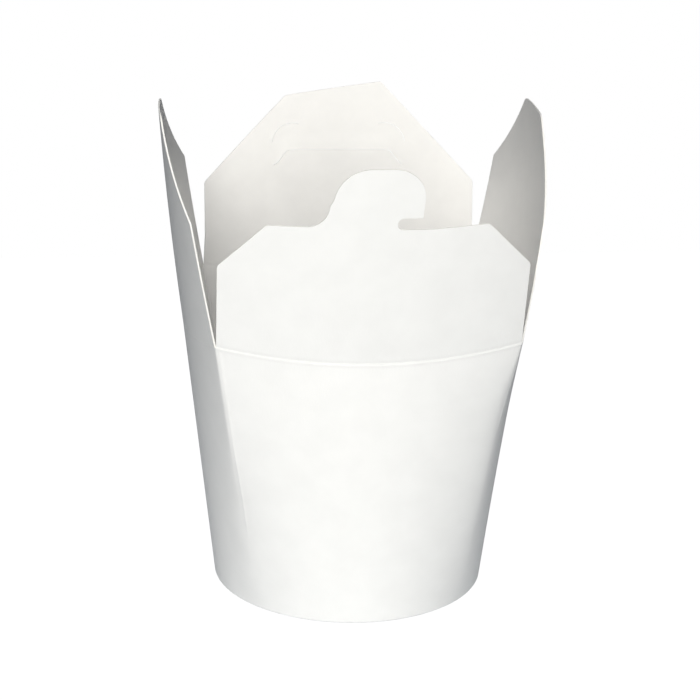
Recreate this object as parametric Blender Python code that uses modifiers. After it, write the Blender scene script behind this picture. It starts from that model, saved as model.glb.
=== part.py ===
"""Round-base paperboard noodle box, open and empty, with its four closing flaps standing.

The frame has +Z up and -Y towards the front flap. Its origin is at the bottom centre of the
whole box's extent, so the foot stands a little off it. Each flap is laid out flat in its own
(u, v) plane, where u runs along the score and v up the flap, then cut, sliced into narrow
strips and bent to its curve. Every flap is modelled facing -Y with its origin on its fold
line, and a turn about Z puts it in place.
"""

import math
from collections import namedtuple

import bmesh
import bpy
from mathutils import Vector

MM = 0.001
BOARD = 0.5 * MM              # thickness of the board
HALF = 47.0 * MM              # half the chord between two slit ends
SCORE_Z = 94.0 * MM           # height of the slit ends
SCORE_DIP = 4.3 * MM          # how far a score dips below its chord at mid side
GAP = 0.3 * MM                # clearance between neighbouring pieces

FOOT_AT = Vector((2.52 * MM, 2.86 * MM, 0.0))    # centre of the foot
FOOT_R = 44.9 * MM            # outer radius of the wall at its foot
FOOT_TURN = 0.5 * MM          # bevel of the turned-in foot
HEM_IN = 2.4 * MM             # how far in the hem's inner face stands
HEM_TOP = 4.0 * MM            # top of the hem inside the foot
FLOOR_TOP = 5.0 * MM          # upper face of the recessed floor
SKIRT_FOOT = 1.0 * MM         # lower edge of the floor's skirt

SIDE_COLUMNS = 16             # wall facets along one side
WALL_ROWS = 6                 # wall facets from foot to score
TURN_STEPS = 64               # facets round the floor

STRIP_U = HALF / 8            # width of the strips a flap is sliced into
STRIP_V = 16.0 * MM           # height of the bands a flap is sliced into
CURL_AT = 50.0 * MM           # height at which a flap's curl is stated
TWIST_AT = 40.0 * MM          # height at which a flap's twist is stated
ASIDE_AT = 10.0 * MM          # height from which a flap stands fully aside
EDGE_IN = 1.0 * MM            # how far a flap's foot corner stands in from the slit end
FOLD_IN = BOARD               # a flap folds about the inner face of its board

WALL_WHITE = (0.86, 0.86, 0.85, 1.0)
FLAP_WHITE = (0.88, 0.88, 0.87, 1.0)
FLOOR_WHITE = (0.80, 0.80, 0.78, 1.0)

# turn about Z, bulge at the chord and how much of it is lost for each metre up the flap,
# lean outwards, inward curl, twist, shift along u, and how far the fold line lies above the
# chord, where the front and back flaps clear the side flaps
Side = namedtuple("Side", "turn bulge loss lean curl twist aside lift")
SIDES = {
    "front": Side(0, 7.0 * MM, 0.044, math.radians(14.0), 0.0, 0.0, 0.0, 1.0 * MM),
    "right": Side(90, 7.0 * MM, 0.080, math.radians(11.0), 2.4 * MM, 1.0 * MM, 0.0, 0.3 * MM),
    "back": Side(180, 7.0 * MM, 0.044, math.radians(8.5), 0.0, 0.0, -0.6 * MM, 1.0 * MM),
    "left": Side(270, 8.9 * MM, 0.064, math.radians(11.0), 1.0 * MM, 0.45 * MM, 0.0, 0.3 * MM),
}

# Flap outlines, as lengths up and along the flat board
SHOULDER_IN = 0.3 * MM        # shoulders stand this far in from the slit ends
LOW_SHOULDER = 28.1 * MM      # front and back flaps
FRONT_TOP = 42.2 * MM
FRONT_HALF_TOP = 32.8 * MM
BACK_TOP_LEFT = (-18.5 * MM, 57.1 * MM)
BACK_TOP_RIGHT = (14.6 * MM, 61.8 * MM)
SIDE_SHOULDER = 38.7 * MM
SIDE_TOP = 65.3 * MM
SIDE_HALF_TOP = 14.5 * MM
SIDE_CROWN = 0.3 * MM         # rise of a side flap's rounded top

# Hook tab on the front flap
TAB_LEFT = -14.7 * MM
TAB_RIGHT = 13.0 * MM
TAB_TOP = 60.3 * MM
TAB_FILLET_R = 6.6 * MM
TAB_LEFT_R = 10.8 * MM
TAB_RIGHT_R = 9.2 * MM
NOTCH_FLOOR = 41.0 * MM
NOTCH_R = 1.9 * MM
NOTCH_DEEP = 7.8 * MM         # from the tab's right side to the notch's round end

# Lock cuts in the back flap
CUT_WIDTH = 0.6 * MM
LOCK_V = 38.1 * MM            # height of the straight middle of the long cut
LOCK_HALF = 17.0 * MM         # half length of that middle
LOCK_END = (22.6 * MM, 33.1 * MM)
ARC_CENTRE = (15.9 * MM, 40.2 * MM)
ARC_R = 7.3 * MM


def clear_scene():
    for thing in list(bpy.data.objects):
        bpy.data.objects.remove(thing, do_unlink=True)


def board_material(name, colour, roughness):
    material = bpy.data.materials.new(name)
    material.use_nodes = True
    shader = material.node_tree.nodes["Principled BSDF"]
    shader.inputs["Base Color"].default_value = colour
    shader.inputs["Roughness"].default_value = roughness
    shader.inputs["Metallic"].default_value = 0.0
    return material


def add_object(collection, name, mesh, material):
    thing = bpy.data.objects.new(name, mesh)
    thing.location = FOOT_AT
    mesh.materials.append(material)
    collection.objects.link(thing)
    return thing


def smooth(mesh, angle):
    mesh.shade_smooth()
    mesh.set_sharp_from_angle(angle=math.radians(angle))


def hump(u):
    """One at mid side, falling to nothing at the slit ends."""
    return 1.0 - (u / HALF) ** 2


def sheet_point(side, u, v):
    """Outer face of a flap facing -Y, measured from the middle of its chord."""
    bulge = (side.bulge - side.loss * v) * hump(u)
    bulge += side.twist * (u / HALF) * (v / TWIST_AT) - side.curl * (v / CURL_AT) ** 2
    out = v * math.sin(side.lean) + bulge
    along = u + side.aside * min(max(v / ASIDE_AT, 0.0), 1.0)
    return Vector((along, -out, v * math.cos(side.lean)))


def sheet_normal(side, u, v):
    step = 0.1 * MM
    along = sheet_point(side, u + step, v) - sheet_point(side, u - step, v)
    up = sheet_point(side, u, v + step) - sheet_point(side, u, v - step)
    return along.cross(up).normalized()


def turned(point, degrees):
    """Turns a point about the Z axis."""
    c = math.cos(math.radians(degrees))
    s = math.sin(math.radians(degrees))
    return Vector((c * point.x - s * point.y, s * point.x + c * point.y, point.z))


def score_v(u):
    return -SCORE_DIP * hump(u)


def rim_point(side, u):
    """The wall's top edge, half a gap below the score, measured from the foot's centre."""
    point = sheet_point(side, u, score_v(u) - GAP / 2)
    return turned(point + Vector((0.0, -HALF, SCORE_Z)), side.turn)


def ring(radius, z, count):
    """A level ring whose first point lies under the front left slit end."""
    angles = [math.radians(-135.0 + 360.0 * i / count) for i in range(count)]
    return [Vector((radius * math.cos(a), radius * math.sin(a), z)) for a in angles]


def make_wall(collection):
    """Lofts the round foot to the bulged square rim, then turns the foot in as a hem."""
    rim = []
    for name in ("front", "right", "back", "left"):
        for i in range(SIDE_COLUMNS):
            rim.append(rim_point(SIDES[name], HALF * (2.0 * i / SIDE_COLUMNS - 1.0)))
    count = len(rim)
    foot = ring(FOOT_R, FOOT_TURN, count)
    rows = []
    for j in range(WALL_ROWS + 1):
        share = j / WALL_ROWS
        rows.append([top.lerp(low, share) for top, low in zip(rim, foot)])
    rows.append(ring(FOOT_R - FOOT_TURN, 0.0, count))
    rows.append(ring(FOOT_R - HEM_IN + FOOT_TURN, 0.0, count))
    rows.append(ring(FOOT_R - HEM_IN, FOOT_TURN, count))
    rows.append(ring(FOOT_R - HEM_IN, HEM_TOP, count))

    points = [point for row in rows for point in row]
    faces = []
    for j in range(len(rows) - 1):
        for i in range(count):
            k = (i + 1) % count
            faces.append((j * count + i, (j + 1) * count + i,
                          (j + 1) * count + k, j * count + k))
    mesh = bpy.data.meshes.new("wall")
    mesh.from_pydata(points, [], faces)
    smooth(mesh, 30)
    wall = add_object(collection, "wall", mesh,
                      board_material("white board wall", WALL_WHITE, 0.6))
    solidify = wall.modifiers.new("board", "SOLIDIFY")
    solidify.thickness = BOARD
    solidify.offset = -1.0
    solidify.use_even_offset = True
    return wall


def make_floor(collection):
    """A shallow pan, open side down, that sits inside the foot above the hem."""
    skirt_top = FOOT_R - BOARD + 0.1 * MM
    skirt_low = FOOT_R - BOARD - 0.45 * MM
    profile = [
        (0.0, FLOOR_TOP),
        (skirt_top - GAP, FLOOR_TOP),
        (skirt_top, FLOOR_TOP - GAP),
        (skirt_low, SKIRT_FOOT),
        (skirt_low - BOARD, SKIRT_FOOT),
        (skirt_top - BOARD, FLOOR_TOP - BOARD),
        (0.0, FLOOR_TOP - BOARD),
    ]
    mesh = bpy.data.meshes.new("floor")
    mesh.from_pydata([(r, 0.0, z) for r, z in profile],
                     [(i, i + 1) for i in range(len(profile) - 1)], [])
    floor = add_object(collection, "floor", mesh,
                       board_material("white board floor", FLOOR_WHITE, 0.6))
    screw = floor.modifiers.new("turn", "SCREW")
    screw.angle = math.tau
    screw.steps = TURN_STEPS
    screw.render_steps = TURN_STEPS
    screw.use_merge_vertices = True
    screw.merge_threshold = 0.00005
    return floor


def arc(centre, radius, start, end, steps):
    """Points on an arc, both ends included, with angles in degrees."""
    points = []
    for i in range(steps + 1):
        a = math.radians(start + (end - start) * i / steps)
        points.append((centre[0] + radius * math.cos(a), centre[1] + radius * math.sin(a)))
    return points


def score_edge():
    """The flap's curved foot, from its left corner to its right one, above the gap."""
    reach = HALF - EDGE_IN
    steps = SIDE_COLUMNS
    us = [reach * (2.0 * i / steps - 1.0) for i in range(steps + 1)]
    return [(u, score_v(u) + GAP / 2) for u in us]


def front_outline():
    shoulder = HALF - SHOULDER_IN
    fillet = (TAB_LEFT - TAB_FILLET_R, NOTCH_FLOOR + 0.9 * MM + TAB_FILLET_R)
    crown_left = (TAB_LEFT + 1.2 * MM + TAB_LEFT_R, TAB_TOP - TAB_LEFT_R)
    crown_right = (TAB_RIGHT - TAB_RIGHT_R, TAB_TOP - TAB_RIGHT_R)
    notch = (TAB_RIGHT - NOTCH_DEEP + NOTCH_R, NOTCH_FLOOR + NOTCH_R)
    points = score_edge()
    points += [(shoulder, LOW_SHOULDER), (FRONT_HALF_TOP, FRONT_TOP)]
    points += [(TAB_RIGHT + 3.0 * MM, NOTCH_FLOOR)]
    points += arc(notch, NOTCH_R, -90, -270, 8)
    points += [(TAB_RIGHT, notch[1] + NOTCH_R)]
    points += arc(crown_right, TAB_RIGHT_R, 0, 90, 7)
    points += arc(crown_left, TAB_LEFT_R, 90, 172, 7)
    points += arc(fillet, TAB_FILLET_R, 0, -90, 6)
    points += [(-FRONT_HALF_TOP, FRONT_TOP), (-shoulder, LOW_SHOULDER)]
    return points


def back_outline():
    """Seen from inside the box, so its u runs the other way from the top corners' list."""
    shoulder = HALF - SHOULDER_IN
    top_left, top_right = BACK_TOP_LEFT, BACK_TOP_RIGHT
    points = score_edge()
    points += [(shoulder, LOW_SHOULDER), (-top_left[0], top_left[1])]
    points += [(-top_right[0], top_right[1]), (-shoulder, LOW_SHOULDER)]
    return points


def side_outline():
    shoulder = HALF - SHOULDER_IN
    points = score_edge()
    points += [(shoulder, SIDE_SHOULDER)]
    for i in range(7):
        u = SIDE_HALF_TOP * (1.0 - i / 3.0)
        points.append((u, SIDE_TOP + SIDE_CROWN * (1.0 - (u / SIDE_HALF_TOP) ** 2)))
    points += [(-shoulder, SIDE_SHOULDER)]
    return points


def ribbon(path, width):
    """A closed outline of the given width round an open path."""
    left, right = [], []
    for i, point in enumerate(path):
        before = path[max(i - 1, 0)]
        after = path[min(i + 1, len(path) - 1)]
        along = Vector((after[0] - before[0], after[1] - before[1])).normalized()
        across = Vector((-along.y, along.x)) * (width / 2)
        left.append((point[0] + across.x, point[1] + across.y))
        right.append((point[0] - across.x, point[1] - across.y))
    return left + right[::-1]


def lock_cuts():
    """One long cut with bent-down ends, and a longer quarter arc over each of those ends."""
    low = []
    for i in range(7):
        share = i / 6
        ease = share * share * (3.0 - 2.0 * share)
        low.append((-LOCK_END[0] + (LOCK_END[0] - LOCK_HALF) * share,
                    LOCK_END[1] + (LOCK_V - LOCK_END[1]) * ease))
    long_cut = low + [(-u, v) for u, v in low[::-1]]
    right_arc = arc(ARC_CENTRE, ARC_R, 6, 106, 7)
    left_arc = [(-u, v) for u, v in right_arc]
    return [ribbon(path, CUT_WIDTH) for path in (long_cut, right_arc, left_arc)]


def flat_blank(name, outline, holes):
    """A flat board of the outline's shape, as a mesh whose outer face is at z = 0."""
    curve = bpy.data.curves.new(name, "CURVE")
    curve.dimensions = "2D"
    curve.fill_mode = "BOTH"
    curve.extrude = BOARD / 2
    for loop in [outline] + holes:
        spline = curve.splines.new("POLY")
        spline.points.add(len(loop) - 1)
        for point, (u, v) in zip(spline.points, loop):
            point.co = (u, v, 0.0, 1.0)
        spline.use_cyclic_u = True
    guide = bpy.data.objects.new(name, curve)
    bpy.context.scene.collection.objects.link(guide)
    bpy.context.view_layer.update()
    mesh = bpy.data.meshes.new_from_object(
        guide.evaluated_get(bpy.context.evaluated_depsgraph_get()))
    bpy.data.objects.remove(guide)
    for vertex in mesh.vertices:
        vertex.co.z -= BOARD / 2
    return mesh


def slice_mesh(bm, axis, step, low, high):
    """Cuts the mesh by evenly spaced planes across the given axis."""
    normal = Vector((0.0, 0.0, 0.0))
    normal[axis] = 1.0
    for i in range(math.ceil(low / step), math.floor(high / step) + 1):
        whole = bm.verts[:] + bm.edges[:] + bm.faces[:]
        bmesh.ops.bisect_plane(bm, geom=whole, dist=0.00001, plane_co=normal * (i * step),
                               plane_no=normal)


def make_flap(collection, name, side_name, outline, holes=()):
    """Cuts the flat blank, slices it and bends it, with its origin on the fold line."""
    side = SIDES[side_name]
    fold = Vector((0.0, FOLD_IN, side.lift))
    mesh = flat_blank(name, outline, list(holes))
    bm = bmesh.new()
    bm.from_mesh(mesh)
    bmesh.ops.remove_doubles(bm, verts=bm.verts[:], dist=0.00001)
    slice_mesh(bm, 0, STRIP_U, -HALF, HALF)
    slice_mesh(bm, 1, STRIP_V, 0.0, SIDE_TOP)
    for vertex in bm.verts:
        u, v, depth = vertex.co
        outward = sheet_normal(side, u, v)
        vertex.co = sheet_point(side, u, v) + outward * depth - fold
    bm.to_mesh(mesh)
    bm.free()
    smooth(mesh, 30)
    flap = add_object(collection, name, mesh,
                      board_material("white board " + name, FLAP_WHITE, 0.6))
    flap.location += turned(Vector((0.0, -HALF, SCORE_Z)) + fold, side.turn)
    flap.rotation_euler = (0.0, 0.0, math.radians(side.turn))
    return flap


def main():
    clear_scene()
    collection = bpy.data.collections.new("noodle_box")
    bpy.context.scene.collection.children.link(collection)
    make_wall(collection)
    make_floor(collection)
    make_flap(collection, "flap_front", "front", front_outline())
    make_flap(collection, "flap_back", "back", back_outline(), lock_cuts())
    make_flap(collection, "flap_left", "left", side_outline())
    make_flap(collection, "flap_right", "right", side_outline())


main()
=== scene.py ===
import math

import bpy
import numpy as np
from mathutils import Matrix, Vector
from mathutils.geometry import delaunay_2d_cdt


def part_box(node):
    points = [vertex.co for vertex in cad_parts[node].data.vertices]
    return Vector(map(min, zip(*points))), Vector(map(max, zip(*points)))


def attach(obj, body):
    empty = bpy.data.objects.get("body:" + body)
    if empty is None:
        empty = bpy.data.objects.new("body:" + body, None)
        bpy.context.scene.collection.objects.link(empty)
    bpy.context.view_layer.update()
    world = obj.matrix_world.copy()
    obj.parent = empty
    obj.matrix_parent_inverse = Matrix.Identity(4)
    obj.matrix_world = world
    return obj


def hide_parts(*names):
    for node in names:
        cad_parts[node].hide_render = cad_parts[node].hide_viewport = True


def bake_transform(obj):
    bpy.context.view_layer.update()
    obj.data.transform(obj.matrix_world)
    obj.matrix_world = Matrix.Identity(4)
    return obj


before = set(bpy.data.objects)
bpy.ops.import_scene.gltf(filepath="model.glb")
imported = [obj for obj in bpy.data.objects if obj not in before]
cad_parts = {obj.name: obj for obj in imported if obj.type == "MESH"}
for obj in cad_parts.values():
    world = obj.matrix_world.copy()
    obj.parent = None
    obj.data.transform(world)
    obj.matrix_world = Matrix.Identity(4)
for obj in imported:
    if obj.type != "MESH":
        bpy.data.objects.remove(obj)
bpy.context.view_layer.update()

# Lengths below are millimetres and angles are degrees. Meshes are made in metres.
mm = 0.001
floorLow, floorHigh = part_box("floor")
footAt = np.array([(floorLow.x + floorHigh.x) / 2, (floorLow.y + floorHigh.y) / 2, 0.0]) / mm

board = {
    "thickness": 0.5,
    "halfChord": 47.0,      # half the straight distance between two slit ends
    "slitHeight": 94.0,     # the slit ends above the surface
    "scoreDip": 4.3,        # how far a score curves below its chord
    "curlAt": 50.0,         # how far up a flap its curl comes to the amount given below,
    "twistAt": 40.0,        # its twist
    "asideAt": 10.0,        # and its shift
}

# turn about Z, bulge at the chord and how much of it goes with each millimetre up the flap,
# lean outwards, inward curl, twist, shift along u, and how deeply the score is pressed
sides = {
    "front": {"turn": 0, "bulge": 7.0, "loss": 0.044, "lean": 14.0,
              "curl": 0.0, "twist": 0.0, "aside": 0.0, "pressed": 0.70},
    "right": {"turn": 90, "bulge": 7.0, "loss": 0.080, "lean": 11.0,
              "curl": 2.4, "twist": 1.0, "aside": 0.0, "pressed": 0.40},
    "back": {"turn": 180, "bulge": 7.0, "loss": 0.044, "lean": 8.5,
             "curl": 0.0, "twist": 0.0, "aside": -0.6, "pressed": 0.40},
    "left": {"turn": 270, "bulge": 8.9, "loss": 0.064, "lean": 11.0,
             "curl": 1.0, "twist": 0.45, "aside": 0.0, "pressed": 0.25},
}
around = ("front", "right", "back", "left")     # anticlockwise, seen from above


# Camera: the photo's viewing angle

cameraView = {
    "from": (-72.296, -603.237, 275.397),    # relative to the middle of the foot
    "yaw": 6.785, "pitch": 18.076, "roll": 1.259,
    "lens": 100.03,
}


def aimCamera(view):
    # Looks along yaw and pitch: sine and cosine of the yaw, each times the pitch's cosine, and
    # the pitch's sine downwards. Roll then turns the level right-hand side up about that line.
    yaw, pitch, roll = (math.radians(view[key]) for key in ("yaw", "pitch", "roll"))
    forward = Vector((math.sin(yaw) * math.cos(pitch), math.cos(yaw) * math.cos(pitch),
                      -math.sin(pitch)))
    level = Vector((math.cos(yaw), -math.sin(yaw), 0.0))
    right = math.cos(roll) * level + math.sin(roll) * level.cross(forward)
    lens = bpy.data.cameras.new("camera")
    lens.lens = view["lens"]
    camera = bpy.data.objects.new("camera", lens)
    bpy.context.scene.collection.objects.link(camera)
    turn = Matrix((right, right.cross(forward), -forward)).transposed()
    place = Vector((np.array(view["from"]) + footAt) * mm)
    camera.matrix_world = Matrix.Translation(place) @ turn.to_4x4()
    bpy.context.scene.camera = camera


aimCamera(cameraView)
print("camera set")


# Materials

def linear(colour):
    # sRGB hex to linear light: a straight line for the darkest tones, a power of 2.4 above.
    srgb = np.array([int(colour[i:i + 2], 16) for i in (0, 2, 4)]) / 255
    light = np.where(srgb <= 0.04045, srgb / 12.92, ((srgb + 0.055) / 1.055) ** 2.4)
    return (*light.tolist(), 1.0)


def addNode(tree, kind, settings=None, inputs=None):
    # Adds a node, sets its own properties, and gives each named input a value or a link.
    node = tree.nodes.new(kind)
    for key, value in (settings or {}).items():
        setattr(node, key, value)
    for key, value in (inputs or {}).items():
        if isinstance(value, bpy.types.NodeSocket):
            tree.links.new(value, node.inputs[key])
        else:
            node.inputs[key].default_value = value
    return node


# What all faces of the board have in common
grain = {
    "cloudDetail": 3.0, "cloudRough": 0.55, "thinAt": 0.32, "thickAt": 0.68,
    "feltDetail": 4.0, "feltRough": 0.6, "feltStretch": 0.4,    # below one draws the felt out in Z
    "swayDetail": 1.0, "swayRough": 0.4,
    "glossFrom": 0.3, "glossTo": 0.7, "glossSpread": 0.04,
}


def noise(tree, vector, size, detail, rough):
    # Cloudy noise with one lump in each given number of millimetres.
    return addNode(tree, "ShaderNodeTexNoise", inputs={
        "Vector": vector, "Scale": 1 / (size * mm), "Detail": detail, "Roughness": rough})


def paperboard(name, look):
    # Bleached board: a cloudy tint where the fibres lie thicker, and a fine felt of fibres drawn
    # out upwards, as the board's grain runs, over a slow sway. Its roughness follows the clouds.
    material = bpy.data.materials.new(name)
    material.use_nodes = True
    tree = material.node_tree
    shader = tree.nodes["Principled BSDF"]
    place = addNode(tree, "ShaderNodeTexCoord").outputs["Object"]
    cloud = noise(tree, place, look["cloudSize"], grain["cloudDetail"], grain["cloudRough"])
    tint = addNode(tree, "ShaderNodeValToRGB", inputs={"Fac": cloud.outputs["Fac"]})
    for stop, at, tone in zip(tint.color_ramp.elements, ("thinAt", "thickAt"), ("thin", "thick")):
        stop.position = grain[at]
        stop.color = linear(look[tone])
    along = addNode(tree, "ShaderNodeMapping", inputs={
        "Vector": place, "Scale": (1.0, 1.0, grain["feltStretch"])})
    felt = noise(tree, along.outputs["Vector"], look["feltSize"], grain["feltDetail"],
                 grain["feltRough"])
    sway = noise(tree, place, look["swaySize"], grain["swayDetail"], grain["swayRough"])
    low = addNode(tree, "ShaderNodeBump", inputs={
        "Strength": 1.0, "Distance": look["swayDepth"] * mm, "Height": sway.outputs["Fac"]})
    bump = addNode(tree, "ShaderNodeBump", inputs={
        "Strength": 1.0, "Distance": look["feltDepth"] * mm, "Height": felt.outputs["Fac"],
        "Normal": low.outputs["Normal"]})
    gloss = addNode(tree, "ShaderNodeMapRange", inputs={
        "Value": cloud.outputs["Fac"], "From Min": grain["glossFrom"], "From Max": grain["glossTo"],
        "To Min": look["roughness"] - grain["glossSpread"],
        "To Max": look["roughness"] + grain["glossSpread"]})
    shader.inputs["IOR"].default_value = look["ior"]
    tree.links.new(tint.outputs["Color"], shader.inputs["Base Color"])
    tree.links.new(gloss.outputs["Result"], shader.inputs["Roughness"])
    tree.links.new(bump.outputs["Normal"], shader.inputs["Normal"])
    return material


# Clay-coated bleached board, calendered: an even white with a faint satin
coatedFace = paperboard("clay-coated paperboard", {
    "thin": "F1F1F0", "thick": "F4F4F3", "cloudSize": 9.0, "feltSize": 0.6, "feltDepth": 0.03,
    "swaySize": 30.0, "swayDepth": 0.08, "roughness": 0.5, "ior": 1.5})
# The food side, lined with a thin film of polyethylene: warmer, and a little glossier
linedFace = paperboard("polyethylene-lined paperboard", {
    "thin": "F1F0EE", "thick": "F4F3F1", "cloudSize": 7.0, "feltSize": 0.7, "feltDepth": 0.03,
    "swaySize": 30.0, "swayDepth": 0.08, "roughness": 0.45, "ior": 1.5})
# The die-cut edge: bare fluffed fibre, whiter and quite matt
cutEdge = paperboard("die-cut paperboard edge", {
    "thin": "F3F2EE", "thick": "FAF9F6", "cloudSize": 1.2, "feltSize": 0.12, "feltDepth": 0.03,
    "swaySize": 6.0, "swayDepth": 0.05, "roughness": 0.85, "ior": 1.45})
print("materials ready")


# Shapes shared by the wall and the flaps

def smoothstep(t):
    # Eases from nothing to one while t goes from 0 to 1: three t squared less two t cubed.
    t = np.clip(t, 0, 1)
    return t * t * (3 - 2 * t)


def bell(distance, middle, width):
    # One at the middle, and e to the minus square of the distance from it in widths.
    return np.exp(-((distance - middle) / width) ** 2)


def hump(u):
    # One at mid side, falling as a parabola to nothing at the slit ends.
    return 1 - (u / board["halfChord"]) ** 2


def scoreHeight(u):
    # The score over its chord: the dip times the hump, downwards.
    return -board["scoreDip"] * hump(u)


def turned(points, degrees):
    # Points turned about Z: x and y are mixed by the cosine and the sine.
    c, s = math.cos(math.radians(degrees)), math.sin(math.radians(degrees))
    x, y, z = points[..., 0], points[..., 1], points[..., 2]
    return np.stack([c * x - s * y, s * x + c * y, z], -1)


def flapPoint(sideName, u, v, relief=0.0):
    # A point of a standing flap's outer face, u along the chord and v up the board. It goes up
    # and out at the lean, and bulges by a parabola in u that shrinks with v. Twist adds a slope
    # that grows with v, curl takes away a square of v. Relief is along the leaning plane's normal.
    side = sides[sideName]
    lean = math.radians(side["lean"])
    bulge = (side["bulge"] - side["loss"] * v) * hump(u)
    bulge = bulge + side["twist"] * (u / board["halfChord"]) * (v / board["twistAt"])
    bulge = bulge - side["curl"] * (v / board["curlAt"]) ** 2
    out = v * math.sin(lean) + bulge + relief * math.cos(lean)
    up = v * math.cos(lean) - relief * math.sin(lean)
    along = u + side["aside"] * np.clip(v / board["asideAt"], 0, 1)
    flat = np.stack([along + 0 * out, -board["halfChord"] - out, board["slitHeight"] + up], -1)
    return turned(flat, side["turn"]) + footAt


scoreRelief = {
    "groove": 0.10, "grooveAt": 0.45, "grooveWidth": 0.42,     # pressed in just above the score
    "bead": 0.13, "beadAt": -0.40, "beadWidth": 0.50,          # pushed out just below it
}


def scoreProfile(distance):
    # Relief against height over the score: a bell-shaped bead less a bell-shaped groove.
    r = scoreRelief
    bead = r["bead"] * bell(distance, r["beadAt"], r["beadWidth"])
    groove = r["groove"] * bell(distance, r["grooveAt"], r["grooveWidth"])
    return bead - groove


def growingSteps(first, growth, largest, reach):
    # Distances from zero to reach, whose steps grow by a factor up to the largest.
    count = int(reach / first) + 2
    steps = np.minimum(first * growth ** np.arange(count), largest)
    marks = np.concatenate([[0.0], np.cumsum(steps)])
    marks = marks[:np.searchsorted(marks, reach) + 1]
    return marks * reach / marks[-1]


def boardPiece(name, points, faces, inner=linedFace):
    # A sheet of board from its outer face: Solidify gives the inner face and the cut edge.
    mesh = bpy.data.meshes.new(name)
    mesh.from_pydata((points * mm).tolist(), [], faces)
    mesh.shade_smooth()
    # an edge that only one face has lies on a cut, and stays sharp
    used = np.empty(len(mesh.loops), int)
    mesh.loops.foreach_get("edge_index", used)
    onCut = np.bincount(used, minlength=len(mesh.edges)) == 1
    sharp = mesh.attributes.new("sharp_edge", "BOOLEAN", "EDGE")
    sharp.data.foreach_set("value", onCut)
    piece = bpy.data.objects.new(name, mesh)
    bpy.context.scene.collection.objects.link(piece)
    for material in (coatedFace, inner, cutEdge):
        mesh.materials.append(material)
    solid = piece.modifiers.new("board", "SOLIDIFY")
    solid.thickness = board["thickness"] * mm
    solid.offset = -1.0
    solid.use_even_offset = True
    solid.material_offset = 1
    solid.material_offset_rim = 2
    return piece


# Wall: straight lines from the bulged square rim to the round foot

wall = {
    "footRadius": 44.9,
    "panelFoot": (48.0, 42.0, 48.0, 42.0),     # half the angle that each side takes of the foot
    "footTurn": 0.6,          # radius of the turn under the foot
    "turnPoints": 5,
    "turnedTo": 1.2,          # how far in the outer layer is carried under the foot
    "columns": 96,            # along each side
    "firstRow": 0.10, "rowGrowth": 1.12, "largestRow": 1.9,     # fine rows at the score
    "rimGap": 0.02,           # half the hairline between wall and flap
    # front left, front right, back right and back left corners: where each starts to round off
    # and where its crease has faded, as shares of the height from the rim down
    "creaseStart": (0.30, 0.00, 0.05, 0.05),
    "creaseEnd": (0.72, 0.35, 0.55, 0.55),
    "sharpRadius": 0.35,      # how round a corner is at its slit
    "creaseRadius": 0.7,      # along its crease,
    "creaseAt": 0.25,         # from this share of the height down,
    "softRadius": 4.5,        # and where the crease has faded
    "cornerSlope": 0.54,      # rise of the wall towards a corner, at the rim
    "cornerHalf": 8.0, "cornerFade": 20.0,     # the rounding is whole this near, and fades out
    "creaseBead": 0.14, "creaseBeadAt": 1.0, "creaseBeadWidth": 0.32,
    "beadGrows": 3.0,         # over this length below the rim,
    "beadFades": 0.05,        # and fades over this share of the height as its crease ends
}


def surfaceNormals(grid):
    # Unit normals of a closed grid of columns and rows, from the cross of its two slopes.
    along = np.roll(grid, -1, 1) - np.roll(grid, 1, 1)
    down = np.gradient(grid, axis=0)
    normal = np.cross(down, along)
    return normal / np.linalg.norm(normal, axis=-1, keepdims=True)


def gridFaces(rows, columns):
    # Quads of a grid whose last column joins its first, wound to face out of a body
    # whose columns run anticlockwise and whose rows run down.
    row, column = np.mgrid[0:rows - 1, 0:columns]
    after = (column + 1) % columns
    quads = np.stack([row * columns + column, (row + 1) * columns + column,
                      (row + 1) * columns + after, row * columns + after], -1)
    return quads.reshape(-1, 4).tolist()


def fullTurn(columns):
    # Even angles once round, in one row.
    return np.linspace(0, math.tau, columns, endpoint=False)[None]


def quarterTurn(points):
    # Even angles from nothing to a right angle, in one column.
    return np.radians(np.linspace(0, 90, points))[:, None]


def ringPoint(angle, radius, z):
    # Points round the middle of the foot: the radius times cosine and sine of the angle, at z.
    across = radius * np.cos(angle), radius * np.sin(angle)
    return np.stack(np.broadcast_arrays(*across, z), -1) + footAt


def wallEnds():
    # The rim and the foot of the wall's straight lines, and the columns' angle at the foot.
    # Columns crowd towards the corners as a sine does towards its peaks.
    count = wall["columns"]
    share = np.sin(math.pi / 2 * (2 * np.arange(count) / count - 1))
    u = board["halfChord"] * share
    rim = [flapPoint(name, u, scoreHeight(u) - wall["rimGap"]) for name in around]
    angle = [-90 + 90 * k + half * share for k, half in enumerate(wall["panelFoot"])]
    angle = np.radians(np.concatenate(angle))
    foot = ringPoint(angle, wall["footRadius"], wall["footTurn"])
    return share, angle, np.concatenate(rim), foot


def wallRadius(angle, height):
    # How far the wall's outer face is from the foot's axis, low down, where it is nearly round.
    _, _, rim, foot = wallEnds()
    share = (height - foot[:, 2]) / (rim[:, 2] - foot[:, 2])
    point = foot + (rim - foot) * share[:, None] - footAt
    bearing = np.arctan2(point[:, 1], point[:, 0])
    return np.interp(angle, bearing, np.hypot(point[:, 0], point[:, 1]), period=math.tau)


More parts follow.
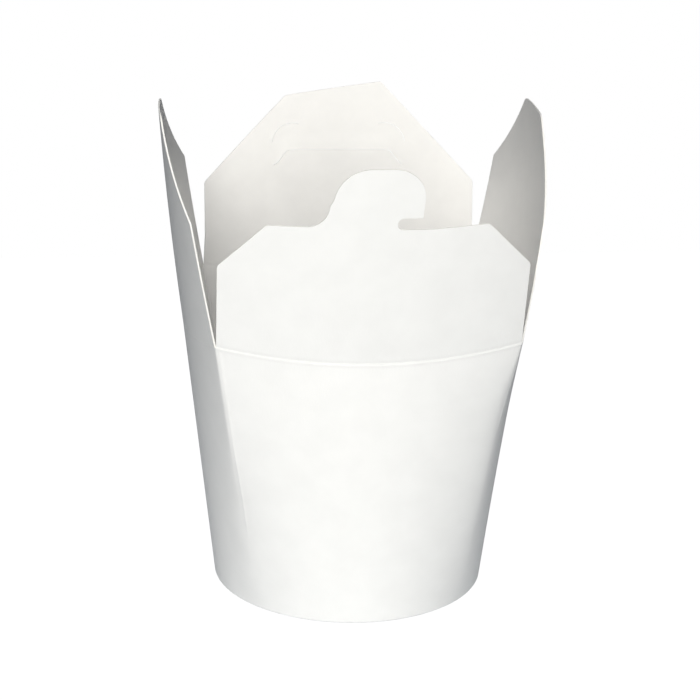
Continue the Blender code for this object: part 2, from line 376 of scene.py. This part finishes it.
def makeWall():
    # Rows go down the straight lines: the rim times the share of height left, plus the foot
    # times the share gone. Corners, pressed lines and the foot's turn are worked in after that.
    share, angle, rim, foot = wallEnds()
    length = board["slitHeight"]
    down = growingSteps(wall["firstRow"], wall["rowGrowth"], wall["largestRow"], length) / length
    down = down[:, None]
    grid = rim * (1 - down[..., None]) + foot * down[..., None]

    # corners: a ridge, its height falling as |x|, is rounded to the root of x squared plus
    # r squared. Each column goes by its nearest corner.
    flat = grid - footAt
    number = np.concatenate([np.where(share < 0, k, (k + 1) % 4) for k in range(4)])
    outward = flat[:, number * wall["columns"]] * (1, 1, 0)
    outward = outward / np.linalg.norm(outward, axis=-1, keepdims=True)
    across = np.abs(flat[..., 1] * outward[..., 0] - flat[..., 0] * outward[..., 1])
    start, end = np.array(wall["creaseStart"])[number], np.array(wall["creaseEnd"])[number]
    opened = smoothstep(down / wall["creaseAt"])
    radius = wall["sharpRadius"] + (wall["creaseRadius"] - wall["sharpRadius"]) * opened
    radius = radius + (wall["softRadius"] - radius) * smoothstep((down - start) / (end - start))
    pull = wall["cornerSlope"] * (1 - down) * (np.sqrt(across ** 2 + radius ** 2) - across)
    pull = pull * (1 - smoothstep((across - wall["cornerHalf"]) / wall["cornerFade"]))
    grid = grid - pull[..., None] * outward

    # relief of the score along the rim, and of the pressed line beside each corner crease,
    # which is only where a side begins, not where one ends
    below = np.linalg.norm(rim - foot, axis=-1) * down
    pressed = np.repeat([sides[name]["pressed"] for name in around], wall["columns"])
    bead = wall["creaseBead"] * bell(across, wall["creaseBeadAt"], wall["creaseBeadWidth"])
    bead = bead * np.tile(share < 0, 4) * smoothstep(below / wall["beadGrows"])
    bead = bead * (1 - smoothstep((down - end + wall["beadFades"]) / wall["beadFades"]))
    relief = pressed * scoreProfile(-below) + bead
    grid = grid + relief[..., None] * surfaceNormals(grid)

    # the foot's turn: a quarter circle, then level under the box
    r = wall["footTurn"]
    turn = quarterTurn(wall["turnPoints"])[1:]
    under = ringPoint(angle, wall["footRadius"] - r + r * np.cos(turn), r - r * np.sin(turn))
    last = ringPoint(angle, wall["footRadius"] - wall["turnedTo"], np.zeros((1, 1)))
    grid = np.concatenate([grid, under, last])
    piece = boardPiece("wall_board", grid.reshape(-1, 3), gridFaces(len(grid), grid.shape[1]))
    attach(piece, "box")
    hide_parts("wall")


makeWall()
print("wall made")


# Hem: the foot's edge, turned up inside the floor's skirt and pressed with fine upright ridges

hem = {
    "columns": 720, "rows": 8,
    "inner": 2.4,            # its inner face, in from the wall's outer face
    "top": 4.0,
    "play": 0.01,            # clear of the wall's turned edge
    "ridges": 180, "ridgeDepth": 0.07,
    "ridgeFrom": 1.0, "ridgeGrows": 0.6,     # they grow from this height, over this much,
    "ridgeEnd": 0.3, "ridgeFades": 0.5,      # and are gone this far under the top
}


def makeHem():
    # Rows go from under the box round a quarter circle and straight up the inner face. A ridge
    # is half of one plus the cosine of the angle times the number of ridges, outwards.
    angle = fullTurn(hem["columns"])
    outer = wall["footRadius"] - wall["turnedTo"] - hem["play"]
    face = wall["footRadius"] - hem["inner"]
    r = wall["footTurn"]
    turn = quarterTurn(wall["turnPoints"])
    height = np.linspace(r, hem["top"], hem["rows"] + 1)[1:, None]
    radius = np.concatenate([[[outer]], face + r - r * np.sin(turn), face + 0 * height])
    z = np.concatenate([[[0.0]], r - r * np.cos(turn), height])
    pressed = smoothstep((z - hem["ridgeFrom"]) / hem["ridgeGrows"])
    pressed = pressed * smoothstep((hem["top"] - hem["ridgeEnd"] - z) / hem["ridgeFades"])
    ridge = hem["ridgeDepth"] * pressed * (0.5 + 0.5 * np.cos(hem["ridges"] * angle))
    grid = ringPoint(angle, radius + ridge, z)
    piece = boardPiece("foot_hem", grid.reshape(-1, 3), gridFaces(len(grid), grid.shape[1]))
    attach(piece, "box")
    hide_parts("wall")


makeHem()


# Floor: a shallow pan turned open side down, with its skirt between the wall and the hem

pan = {
    "top": 5.0, "edgeRound": 0.8, "skirtFoot": 1.0, "play": 0.06,
    "dome": 0.35,            # the disc is drawn up a little at its middle
    "ringIn": 4.5, "ringDepth": 0.12, "ringWidth": 1.2,       # a pressed ring near the edge
    "columns": 192, "rows": 40, "edgePoints": 6, "skirtRows": 3,
    "middle": 0.004,         # share of the radius inside the first row, closed by one face
}


def makeFloor():
    # The disc is highest at its middle and falls with the square of the radius, less the ring.
    # Then come a quarter circle at the edge and a straight skirt.
    angle = fullTurn(pan["columns"])
    # the pan's edge keeps to the inside of the wall, which is already a little squared there
    reach = wallRadius(angle, pan["top"]) - board["thickness"] - pan["play"]
    disc = np.linspace(pan["middle"], 1, pan["rows"])[:, None]
    out = disc * (reach - pan["edgeRound"])
    ring = pan["ringDepth"] * bell(reach - out, pan["ringIn"], pan["ringWidth"])
    height = pan["top"] + pan["dome"] * (1 - disc ** 2) - ring
    turn = quarterTurn(pan["edgePoints"])[1:]
    edge = reach - pan["edgeRound"] * (1 - np.sin(turn))
    fall = pan["top"] - pan["edgeRound"] * (1 - np.cos(turn))
    share = np.linspace(0, 1, pan["skirtRows"] + 1)[1:, None]
    low = wall["footRadius"] - board["thickness"] - pan["play"]
    skirt = reach + (low - reach) * share
    drop = fall[-1] + (pan["skirtFoot"] - fall[-1]) * share
    radius = np.concatenate([out, edge, skirt])
    z = np.concatenate([height, fall + 0 * angle, drop + 0 * angle])
    grid = ringPoint(angle, radius, z)
    faces = gridFaces(len(grid), grid.shape[1])
    faces.append(list(range(pan["columns"])))
    piece = boardPiece("floor_pan", grid.reshape(-1, 3), faces, inner=coatedFace)
    piece.data.materials[0] = linedFace
    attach(piece, "box")
    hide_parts("floor")


makeFloor()
print("hem and floor made")


# Flaps: cut flat, then bent

flaps = {
    "footIn": 0.35,          # foot corners stand in from the slit ends
    "footPoints": 111,
    "shoulderIn": 0.3,
    "lowShoulder": 28.1,     # front and back flaps
    "sideShoulder": 38.7,
    "cornerRound": 0.8,      # radius that the die gives a corner
    "column": 0.85,          # spacing of the points across
    "row": 0.85,             # and up, above the fine rows at the score
    "firstRow": 0.10, "rowGrowth": 1.14,
    "cutSamples": 60,        # points that each stretch of a cut is measured with
    "cutStep": 0.9,          # longest step along a cut, in cells of the grid
    "cutClear": 0.55,        # and how near the grid's own points may come to it
    "weld": 1e-5,
    "foldReach": 5.0,        # the board has turned fully this far over the score's lowest point
}
frontTop = {"height": 42.2, "half": 32.8}
hook = {
    "left": -14.7, "right": 13.0, "top": 60.3, "fillet": 6.6, "leftRound": 10.8, "rightRound": 9.2,
    "notchFloor": 41.0, "notchRound": 1.9, "notchDeep": 7.8, "leftSlant": 1.2, "rise": 0.9,
    "notchMouth": 3.0,       # the notch's floor starts this far right of the tab
    "nose": 0.5,             # radius of the tab's corner over the notch
    "slantFrom": 172,        # where the round crown meets the slanted left edge
}
backTop = {"left": (-18.5, 57.1), "right": (14.6, 61.8)}
sideTop = {
    "half": 14.5, "height": 65.3, "crown": 0.3, "points": 13,
    "tipRound": 2.5, "tipPoints": 7,
    "tipOver": 3,            # how many points of the crown a rounded tip takes the place of
}
lock = {
    "width": 0.25, "height": 38.1, "half": 17.0, "end": (22.6, 33.1),
    "endPoints": 10, "middlePoints": 28,
    "arcCentre": (15.9, 40.2), "arcRadius": 7.3, "arcFrom": 6, "arcTo": 106,
    "lift": 0.35, "liftReach": 7.0,      # the board over the long cut stands in a little
}
shoulder = board["halfChord"] - flaps["shoulderIn"]


def arc(centre, radius, start, end, steps):
    # Points of a circle: the centre plus the radius times cosine and sine.
    a = np.radians(np.linspace(start, end, steps + 1))
    return np.stack([centre[0] + radius * np.cos(a), centre[1] + radius * np.sin(a)], -1)


def roundedCorner(before, corner, after, radius, steps=5):
    # Points round a corner: a quadratic curve between the places a cut's radius reaches.
    before, corner, after = (np.array(point, float) for point in (before, corner, after))
    start = corner + (before - corner) * min(radius / np.linalg.norm(before - corner), 0.5)
    end = corner + (after - corner) * min(radius / np.linalg.norm(after - corner), 0.5)
    t = np.linspace(0, 1, steps)[:, None]
    return (1 - t) ** 2 * start + 2 * t * (1 - t) * corner + t ** 2 * end


def footEdge():
    # A flap's lower cut, left to right: the score, moved up by the hairline.
    u = np.linspace(-1, 1, flaps["footPoints"]) * (board["halfChord"] - flaps["footIn"])
    return np.stack([u, scoreHeight(u) + wall["rimGap"]], -1)


def closedBy(upper):
    # Outline from the foot's right corner over the given parts and back along the foot. A part
    # is one corner, which gets the die's radius, or a run of points, which is kept.
    foot = footEdge()
    parts = [np.atleast_2d(part) for part in (foot, *upper, foot[0])]
    outline = [foot]
    for before, part, after in zip(parts, parts[1:], parts[2:]):
        if len(part) == 1:
            part = roundedCorner(before[-1], part[0], after[0], flaps["cornerRound"])
        outline.append(part)
    return np.concatenate(outline)


def frontOutline():
    # Slanted shoulders and a level top, with the hook tab in its middle: from the notch round
    # the tab's two crowns, which are arcs, to the fillet at its left foot.
    low, top, half = flaps["lowShoulder"], frontTop["height"], frontTop["half"]
    left, leftRound, rightRound = hook["left"], hook["leftRound"], hook["rightRound"]
    fillet = (left - hook["fillet"], hook["notchFloor"] + hook["rise"] + hook["fillet"])
    crownLeft = (left + hook["leftSlant"] + leftRound, hook["top"] - leftRound)
    crownRight = (hook["right"] - rightRound, hook["top"] - rightRound)
    notch = (hook["right"] - hook["notchDeep"] + hook["notchRound"],
             hook["notchFloor"] + hook["notchRound"])
    roof = notch[1] + hook["notchRound"]
    tab = np.concatenate([
        [(hook["right"] + hook["notchMouth"], hook["notchFloor"])],
        arc(notch, hook["notchRound"], start=-90, end=-270, steps=14),
        roundedCorner((notch[0], roof), (hook["right"], roof), crownRight, hook["nose"]),
        arc(crownRight, rightRound, start=0, end=90, steps=16),
        arc(crownLeft, leftRound, start=90, end=hook["slantFrom"], steps=18)[1:],
        arc(fillet, hook["fillet"], start=0, end=-90, steps=12),
    ])
    return closedBy([(shoulder, low), (half, top), tab, (-half, top), (-shoulder, low)])


def backOutline():
    # Shoulders as on the front flap, and a slanting straight top between two corners.
    low, left, right = flaps["lowShoulder"], backTop["left"], backTop["right"]
    return closedBy([(shoulder, low), (-left[0], left[1]), (-right[0], right[1]), (-shoulder, low)])


def sideOutline():
    # High shoulders and a narrow crown, which rises as a parabola between two rounded tips.
    u = sideTop["half"] * np.linspace(1, -1, sideTop["points"])
    rise = sideTop["crown"] * (1 - (u / sideTop["half"]) ** 2)
    crown = np.stack([u, sideTop["height"] + rise], -1)
    low = np.array([shoulder, flaps["sideShoulder"]])
    middle, over = sideTop["points"] // 2, sideTop["tipOver"]
    tip = roundedCorner(low, crown[0], crown[middle], sideTop["tipRound"], sideTop["tipPoints"])
    crown = np.concatenate([tip, crown[over:-over], (tip * (-1, 1))[::-1]])
    return closedBy([low, crown, low * (-1, 1)])


def ribbon(path, width):
    # Closed outline of a slot: the path moved half its width to each side.
    along = np.gradient(path, axis=0)
    along = along / np.linalg.norm(along, axis=1, keepdims=True)
    aside = np.stack([-along[:, 1], along[:, 0]], -1) * width / 2
    return np.concatenate([path + aside, (path - aside)[::-1]])


def lockCuts():
    # The long cut eases down at both ends by a smoothstep, and a quarter arc is over each.
    share = np.linspace(0, 1, lock["endPoints"])
    end, half = np.array(lock["end"]), lock["half"]
    low = np.stack([-end[0] + (end[0] - half) * share,
                    end[1] + (lock["height"] - end[1]) * smoothstep(share)], -1)
    u = np.linspace(-half, half, lock["middlePoints"] + 2)[1:-1]
    middle = np.stack([u, np.full(len(u), lock["height"])], -1)
    longCut = np.concatenate([low, middle, (low * (-1, 1))[::-1]])
    rightArc = arc(lock["arcCentre"], lock["arcRadius"], lock["arcFrom"], lock["arcTo"], steps=14)
    return [ribbon(path, lock["width"]) for path in (longCut, rightArc, rightArc * (-1, 1))]


def lockLift(u, v):
    # How far the board over the long cut stands in towards the mouth: a step at the cut that
    # dies away by a smoothstep upwards, and towards the cut's ends.
    share = smoothstep((lock["end"][0] - np.abs(u)) / (lock["end"][0] - lock["half"]))
    cut = lock["end"][1] + (lock["height"] - lock["end"][1]) * share
    over = np.where(v > cut, 1 - smoothstep((v - cut) / lock["liftReach"]), 0.0)
    return lock["lift"] * share * over


def insideOf(loop, points):
    # True where a ray to the right of a point crosses the loop an odd number of times.
    x, y = points[:, :1], points[:, 1:]
    start, end = loop, np.roll(loop, -1, 0)
    rising = (start[:, 1] > y) != (end[:, 1] > y)
    height = np.where(end[:, 1] == start[:, 1], 1.0, end[:, 1] - start[:, 1])
    crossing = start[:, 0] + (y - start[:, 1]) * (end[:, 0] - start[:, 0]) / height
    return (rising & (x < crossing)).sum(1) % 2 == 1


def onBoard(loops, points):
    # True inside the first loop, the outline, and outside all the others, the holes.
    keep = insideOf(loops[0], points)
    for loop in loops[1:]:
        keep &= ~insideOf(loop, points)
    return keep


def makeFlap(name, sideName, outline, holes=()):
    # Cuts a flap from its outline. Its points stand on a grid of columns and of rows that
    # run from the curved score to the straight top, finest at the score, and are joined by
    # triangles in the grid's own units, so that the rows stay whole along the score.
    half = board["halfChord"]
    top = max(outline[:, 1]) + 1
    rows = growingSteps(flaps["firstRow"], flaps["rowGrowth"], flaps["row"], top)

    def toGrid(flat):
        # Flat millimetres to cells: the share of the way from score to top, looked up in rows.
        foot = scoreHeight(flat[:, 0])
        rise = top * (flat[:, 1] - foot) / (top - foot)
        return np.stack([(flat[:, 0] + half) / flaps["column"],
                         np.interp(rise, rows, np.arange(len(rows)))], -1)

    def fromGrid(cells):
        # Cells back to flat millimetres, the other way round.
        u = cells[:, 0] * flaps["column"] - half
        rise = np.interp(cells[:, 1], np.arange(len(rows)), rows)
        foot = scoreHeight(u)
        return u, foot + rise * (top - foot) / top

    def cutLoop(flat):
        # The loop in grid units, with points less than a cell apart.
        parts = []
        share = np.linspace(0, 1, flaps["cutSamples"])[:, None]
        for start, end in zip(flat, np.roll(flat, -1, 0)):
            fine = toGrid(start + (end - start) * share)
            steps = np.linalg.norm(np.diff(fine, axis=0), axis=1)
            walked = np.concatenate([[0], np.cumsum(steps)])
            count = max(int(np.ceil(walked[-1] / flaps["cutStep"])), 1)
            marks = np.linspace(0, walked[-1], count + 1)[:-1]
            parts.append(np.stack([np.interp(marks, walked, fine[:, k]) for k in (0, 1)], -1))
        return np.concatenate(parts)

    loops = [cutLoop(loop) for loop in (outline, *holes)]
    cuts = np.concatenate(loops)
    across = np.arange(int(2 * half / flaps["column"]) + 2)
    column, row = np.meshgrid(across, np.arange(1, len(rows)))
    lattice = np.stack([column.ravel(), row.ravel()], -1).astype(float)
    lattice = lattice[onBoard(loops, lattice)]
    nearest = np.min(np.hypot(lattice[:, :1] - cuts[:, 0], lattice[:, 1:] - cuts[:, 1]), 1)
    lattice = lattice[nearest > flaps["cutClear"]]
    ends = np.cumsum([len(loop) for loop in loops])
    edges = [(i, i + 1 if i + 1 < end else end - len(loop))
             for loop, end in zip(loops, ends) for i in range(end - len(loop), end)]
    seeds = [Vector(point) for point in np.concatenate([cuts, lattice]).tolist()]
    cells, _, faces, *_ = delaunay_2d_cdt(seeds, edges, [], 0, flaps["weld"])
    cells = np.array([tuple(cell) for cell in cells])
    faces = np.array(faces)
    faces = faces[onBoard(loops, cells[faces].mean(1))]
    u, v = fromGrid(cells)
    relief = sides[sideName]["pressed"] * scoreProfile(v - scoreHeight(u))
    if holes:
        relief = relief - lockLift(u, v)
    points = flapPoint(sideName, u, v, relief)
    piece = boardPiece(name + "_board", points, faces.tolist())

    # the score lies in a plane through its chord: the plane's upward normal, from the chord's two
    # ends and the score's lowest point
    dip = flapPoint(sideName, np.zeros(1), np.array([scoreHeight(0.0)]))[0]
    chord = flapPoint(sideName, np.full(1, half), np.zeros(1))[0]
    otherEnd = flapPoint(sideName, np.full(1, -half), np.zeros(1))[0]
    upward = np.cross(chord - otherEnd, chord - dip)
    upward = upward / np.linalg.norm(upward) * np.sign(upward[2])
    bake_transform(piece)
    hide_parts(name)


makeFlap("flap_front", "front", frontOutline())
makeFlap("flap_back", "back", backOutline(), lockCuts())
makeFlap("flap_left", "left", sideOutline())
makeFlap("flap_right", "right", sideOutline())
print("flaps made")


# Floor of the studio, and its light

studio = {
    "aimHeight": 85.0,        # the lamps point at the middle of the box
    "floorHalf": 400.0,
    "floorSeen": 1.0, "floorSeenShare": 0.85,     # how white the camera finds the floor
    "floorColour": "A6AAAE",  # and what the floor throws back on the box
    "glow": 0.19, "glowFull": 150.0, "glowEnd": 250.0,     # light the floor sends up round the box
    "roomSeen": 1.0,          # how white the camera finds the room
    "fill": 0.085,            # and how much light the room gives
    "lampColour": "FFFDF8", "fillColour": "D6E7FF", "glowColour": "FAFCFF",    # warm lamps, cool room
    "lampDistance": 1100.0, "lampSize": 500.0,
}
# rise and turn are the lamp's direction from the box, 0 being straight in front
lamps = {
    "high lamp": {"rise": 40.0, "turn": -20.0, "watts": 8.0},
    "front lamp": {"rise": 20.0, "turn": 0.0, "watts": 2.5},
    "low lamp": {"rise": 8.0, "turn": -7.0, "watts": 3.1},
    "side lamp": {"rise": 2.0, "turn": 80.0, "watts": 0.7},
}


def addLamp(name, lamp):
    # A round lamp that faces the box. Its direction is the sine and cosine of the turn, each
    # times the cosine of the rise, and the sine of the rise upwards.
    disc = bpy.data.lights.new(name, "AREA")
    disc.shape = "DISK"
    disc.size = studio["lampSize"] * mm
    disc.energy = lamp["watts"]
    disc.color = linear(studio["lampColour"])[:3]
    rise, turn = math.radians(lamp["rise"]), math.radians(lamp["turn"])
    towards = Vector((math.sin(turn) * math.cos(rise), -math.cos(turn) * math.cos(rise),
                      math.sin(rise)))
    holder = bpy.data.objects.new(name, disc)
    aim = Vector(footAt) + Vector((0, 0, studio["aimHeight"]))
    holder.location = (aim + towards * studio["lampDistance"]) * mm
    holder.rotation_euler = towards.to_track_quat("Z", "Y").to_euler()
    holder.visible_camera = False
    bpy.context.scene.collection.objects.link(holder)


def litAcrylic():
    # Translucent white acrylic lit from below: it glows white, and shadows on it stay faint.
    # The camera sees a mix of emission and matt. Other rays see the matt plus a glow, which is
    # full near the box and eases to nothing further out.
    acrylic = bpy.data.materials.new("back-lit white acrylic")
    acrylic.use_nodes = True
    tree = acrylic.node_tree
    tree.nodes.clear()
    seen = addNode(tree, "ShaderNodeLightPath").outputs["Is Camera Ray"]
    share = addNode(tree, "ShaderNodeMath", {"operation": "MULTIPLY"},
                    {0: seen, 1: studio["floorSeenShare"]})
    matt = addNode(tree, "ShaderNodeBsdfDiffuse", inputs={"Color": linear(studio["floorColour"])})
    white = addNode(tree, "ShaderNodeEmission", inputs={
        "Strength": studio["floorSeen"] / studio["floorSeenShare"]})
    mix = addNode(tree, "ShaderNodeMixShader", inputs={
        0: share.outputs[0], 1: matt.outputs[0], 2: white.outputs[0]})
    place = addNode(tree, "ShaderNodeTexCoord").outputs["Object"]
    away = addNode(tree, "ShaderNodeVectorMath", {"operation": "LENGTH"}, {0: place})
    spread = addNode(tree, "ShaderNodeMapRange", {"interpolation_type": "SMOOTHSTEP"}, {
        "Value": away.outputs["Value"], "From Min": studio["glowFull"] * mm,
        "From Max": studio["glowEnd"] * mm, "To Min": studio["glow"], "To Max": 0.0})
    unseen = addNode(tree, "ShaderNodeMath", {"operation": "SUBTRACT"}, {0: 1.0, 1: seen})
    strength = addNode(tree, "ShaderNodeMath", {"operation": "MULTIPLY"}, {
        0: spread.outputs["Result"], 1: unseen.outputs[0]})
    glow = addNode(tree, "ShaderNodeEmission", inputs={
        "Color": linear(studio["glowColour"]), "Strength": strength.outputs[0]})
    both = addNode(tree, "ShaderNodeAddShader", inputs={0: mix.outputs[0], 1: glow.outputs[0]})
    addNode(tree, "ShaderNodeOutputMaterial", inputs={"Surface": both.outputs[0]})
    return acrylic


def makeGround():
    # A square of acrylic under the box, its corners at plus and minus the reach.
    reach = studio["floorHalf"] * mm
    mesh = bpy.data.meshes.new("studio_floor")
    mesh.from_pydata([(x * reach, y * reach, 0.0) for x, y in ((-1, -1), (1, -1), (1, 1), (-1, 1))],
                     [], [(0, 1, 2, 3)])
    mesh.materials.append(litAcrylic())
    ground = bpy.data.objects.new("studio_floor", mesh)
    bpy.context.scene.collection.objects.link(ground)


def makeRoom():
    # The room is white to the camera, and a weak cool fill to every other ray.
    world = bpy.data.worlds.new("studio")
    bpy.context.scene.world = world
    world.use_nodes = True
    tree = world.node_tree
    tree.nodes.clear()
    seen = addNode(tree, "ShaderNodeLightPath").outputs["Is Camera Ray"]
    strength = addNode(tree, "ShaderNodeMapRange", inputs={
        "Value": seen, "To Min": studio["fill"], "To Max": studio["roomSeen"]})
    tone = addNode(tree, "ShaderNodeMix", {"data_type": "RGBA"}, {     # 6 and 7 are its two colours
        "Factor": seen, 6: linear(studio["fillColour"]), 7: (1.0, 1.0, 1.0, 1.0)})
    sky = addNode(tree, "ShaderNodeBackground", inputs={
        "Color": tone.outputs[2], "Strength": strength.outputs["Result"]})
    addNode(tree, "ShaderNodeOutputWorld", inputs={"Surface": sky.outputs["Background"]})


makeGround()
for name, lamp in lamps.items():
    addLamp(name, lamp)
makeRoom()
bpy.context.scene.view_settings.view_transform = "Standard"
print("studio lit")
